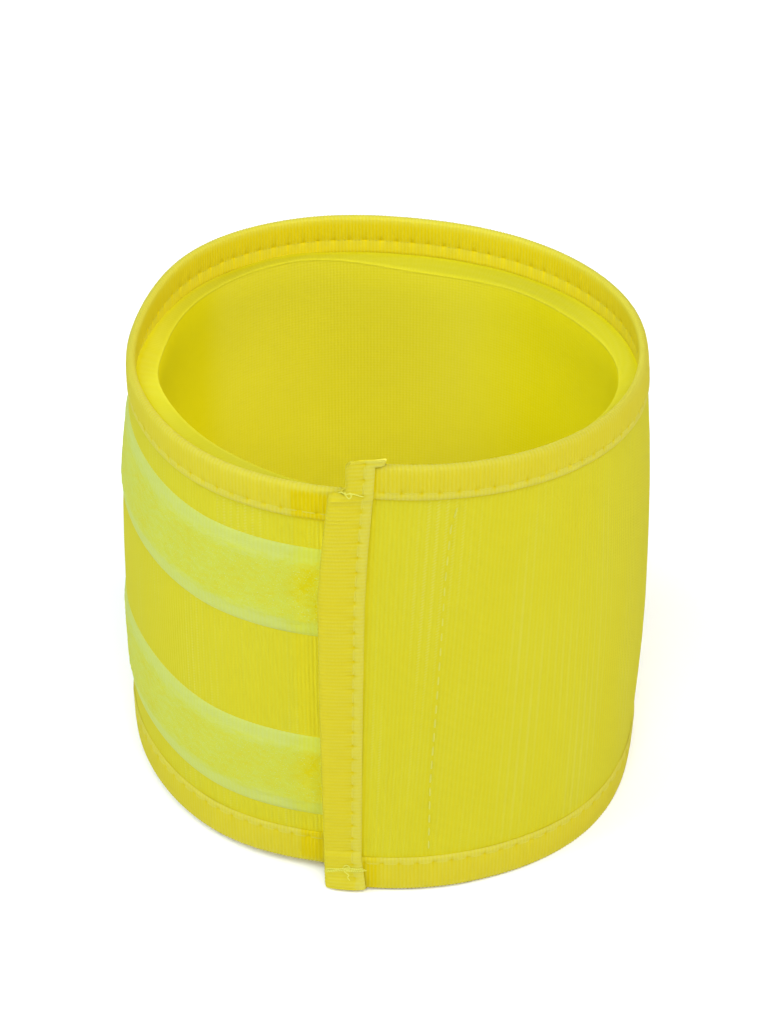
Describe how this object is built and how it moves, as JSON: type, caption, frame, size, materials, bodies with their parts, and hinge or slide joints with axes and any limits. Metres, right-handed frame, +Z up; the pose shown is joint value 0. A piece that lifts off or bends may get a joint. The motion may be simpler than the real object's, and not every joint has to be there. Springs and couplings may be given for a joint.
{
  "type": "wrap-around armband",
  "caption": "Wide cloth armband wound round the arm, with ribbon-bound edges, loop tapes outside, a hook panel under the flap and an inner sleeve.",
  "frame": {"origin": "centre of the armband's outline, on the floor that its lower edge stands on", "axes": "+Z up along the arm, +X to the right and -Y to the front, where the flap's free end lies"},
  "size_m": [0.1072, 0.1082, 0.103],
  "materials": {
    "stretch_cloth": "matt ribbed stretch cloth, bright yellow",
    "ribbon": "ribbed grosgrain ribbon, bright yellow",
    "loop_pile": "brushed loop pile, greenish yellow",
    "hook_cloth": "hook cloth, yellow",
    "sleeve_cloth": "woven cloth, yellow"
  },
  "bodies": {
    "root": {"band_body": "stretch_cloth", "top_binding": "ribbon", "bottom_binding": "ribbon", "flap_end_binding": "ribbon", "loop_tape_upper": "loop_pile", "loop_tape_lower": "loop_pile", "hook_panel": "hook_cloth", "inner_sleeve": "sleeve_cloth"}
  },
  "joints": []
}
